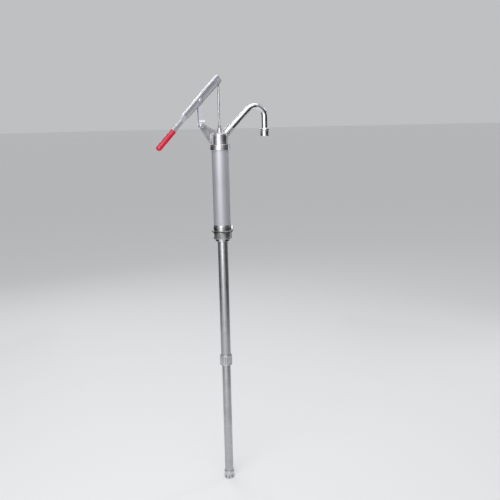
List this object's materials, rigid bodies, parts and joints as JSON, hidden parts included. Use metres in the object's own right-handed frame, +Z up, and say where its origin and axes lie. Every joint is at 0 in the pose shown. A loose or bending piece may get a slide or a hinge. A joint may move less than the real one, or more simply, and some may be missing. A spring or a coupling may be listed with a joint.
{
  "type": "lever-action drum pump",
  "caption": "Lever-operated piston drum pump with a vertical cylinder, curved swivel spout, bung adapter and telescoping suction tube.",
  "frame": {"origin": "on the pump's axis, at the face where the bung adapter's gasket seats on the drum", "axes": "+Z up along the cylinder, +X towards the spout, the lever swings in the XZ plane with its grip towards -X"},
  "size_m": [0.3669, 0.066, 1.3406],
  "materials": {
    "cylinder_paint": "satin silver-grey paint",
    "cast_alloy": "die-cast, satin",
    "zinc_sheet": "pressed sheet, bright zinc plate",
    "chrome": "mirror chrome",
    "plated_steel": "zinc-plated turned steel",
    "machined_iron": "machined, dull nickel",
    "tube_steel": "galvanised tube",
    "brass": "machined",
    "black_rubber": "moulded",
    "leather": "oiled",
    "packing": "greased braid",
    "red_vinyl": "glossy vinyl"
  },
  "bodies": {
    "bung": {"drum_gasket": "black_rubber", "bung_adapter": "machined_iron"},
    "thumb": {"thumb_screw": "plated_steel"},
    "pump": {"pump_base": "machined_iron", "foot_valve_seat": "brass", "foot_valve_cage": "brass", "cylinder": "cylinder_paint", "head_gasket": "black_rubber", "head_ring": "cast_alloy", "pump_head": "cast_alloy", "gland_washer": "brass", "rod_packing": "packing", "packing_nut": "plated_steel", "spout_seal": "black_rubber", "spout_nut": "chrome", "upper_suction_tube": "tube_steel", "tube_seal": "black_rubber", "tube_nut": "cast_alloy"},
    "foot_valve": {"foot_valve_disc": "brass"},
    "rod": {"piston_rod": "plated_steel", "rod_eye": "plated_steel", "piston_body": "machined_iron", "piston_cup": "leather", "cup_retainer": "plated_steel", "piston_nuts": "plated_steel"},
    "piston_valve": {"piston_valve_disc": "brass"},
    "lever": {"lever": "zinc_sheet", "grip": "red_vinyl", "fulcrum_rivets": "plated_steel", "rod_pin": "plated_steel", "rod_pin_clip": "plated_steel", "rod_spacers": "plated_steel"},
    "link": {"link": "zinc_sheet", "link_bolt": "plated_steel", "link_washers": "plated_steel", "link_nut": "plated_steel"},
    "drop_tube": {"lower_suction_tube": "tube_steel", "tube_stop_ring": "brass", "strainer": "cast_alloy"},
    "spout": {"spout_tube": "chrome", "nozzle": "chrome"}
  },
  "joints": [
    {"name": "thumb_screw_turn", "type": "hinge", "parent": "bung", "child": "thumb", "pos_m": [0.02631, -0.00958, 0.0132], "axis": [0.9397, -0.342, 0], "continuous": true},
    {"name": "pump_swivel", "type": "hinge", "parent": "bung", "child": "pump", "pos_m": [0, 0, 0], "axis": [0, 0, 1], "continuous": true},
    {"name": "rod_stroke", "type": "slide", "parent": "pump", "child": "rod", "axis": [0, 0, -1], "range_m": [0, 0.1151]},
    {"name": "lever_swing", "type": "hinge", "parent": "rod", "child": "lever", "pos_m": [0, 0, 0.472], "axis": [0, 1, 0], "range_deg": [0, 86.12]},
    {"name": "link_swing", "type": "hinge", "parent": "pump", "child": "link", "pos_m": [-0.058, 0, 0.337], "axis": [0, -1, 0], "range_deg": [0, 2.26]},
    {"name": "foot_valve_lift", "type": "slide", "parent": "pump", "child": "foot_valve", "axis": [0, 0, 1], "range_m": [0, 0.005]},
    {"name": "piston_valve_lift", "type": "slide", "parent": "rod", "child": "piston_valve", "axis": [0, 0, 1], "range_m": [0, 0.004]},
    {"name": "suction_tube_slide", "type": "slide", "parent": "pump", "child": "drop_tube", "axis": [0, 0, 1], "range_m": [0, 0.36]},
    {"name": "spout_swivel", "type": "hinge", "parent": "pump", "child": "spout", "pos_m": [0, 0, 0.291], "axis": [0.7071, 0, 0.7071], "range_deg": [-90, 90]}
  ],
  "couplings": [
    {"joint": "rod_stroke", "follows": "lever_swing", "m_per_rad": 0.076513},
    {"joint": "link_swing", "follows": "lever_swing", "ratio": 0.025653}
  ]
}
